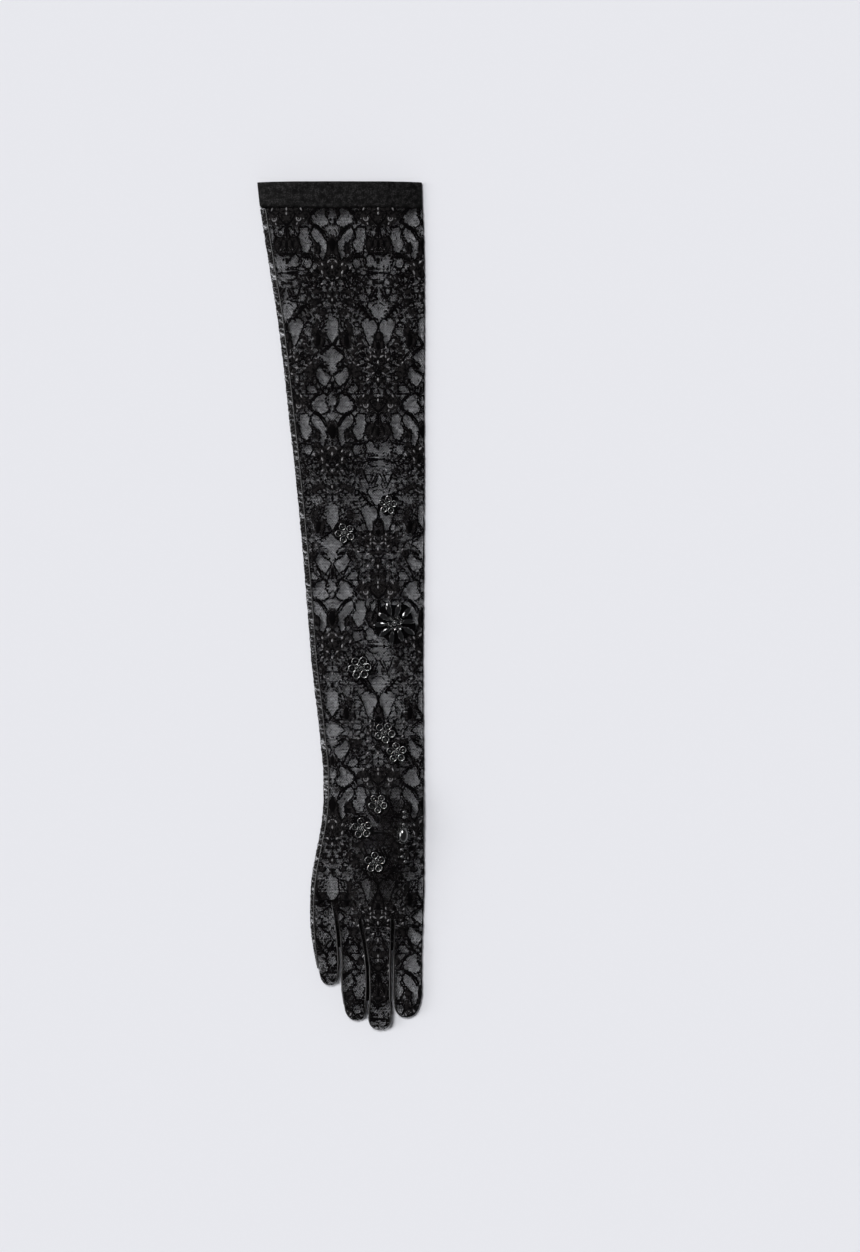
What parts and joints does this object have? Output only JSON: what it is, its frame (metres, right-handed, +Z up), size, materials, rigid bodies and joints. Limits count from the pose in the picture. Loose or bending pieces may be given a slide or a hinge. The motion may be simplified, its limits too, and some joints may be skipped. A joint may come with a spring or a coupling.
{
  "type": "lace glove",
  "caption": "Long black lace evening glove lying flat, thumb folded under the palm, with beaded flowers on its back.",
  "frame": {"origin": "on the surface that the glove lies on, under the middle of its bounding box", "axes": "+Z up, +Y from the fingertips up the arm to the cuff, +X towards the folded edge on the forefinger side"},
  "size_m": [0.1256, 0.636, 0.0176],
  "materials": {
    "lace": "matte black floral lace on a fine see-through net",
    "net": "plain matte black net",
    "satin": "opaque black band with a faint mottled lace face",
    "thread": "black overlock thread",
    "jet": "polished jet black beads and cupped sequins"
  },
  "bodies": {
    "root": {"hem_band": "satin", "sleeve": "lace", "hand": "lace", "thumb": "lace", "side_seam": "thread", "finger_index": "lace", "finger_middle": "lace", "finger_ring": "lace", "finger_little": "lace", "fourchette_ring_little": "net", "fourchette_middle_ring": "net", "fourchette_index_middle": "net", "flower_upper_arm": "jet", "flower_outer_arm": "jet", "flower_forearm": "jet", "flower_wrist_upper": "jet", "flower_wrist_lower": "jet", "flower_hand_upper": "jet", "flower_hand_outer": "jet", "flower_hand_lower": "jet", "flower_marquise": "jet", "bead_spray": "jet"}
  },
  "joints": []
}
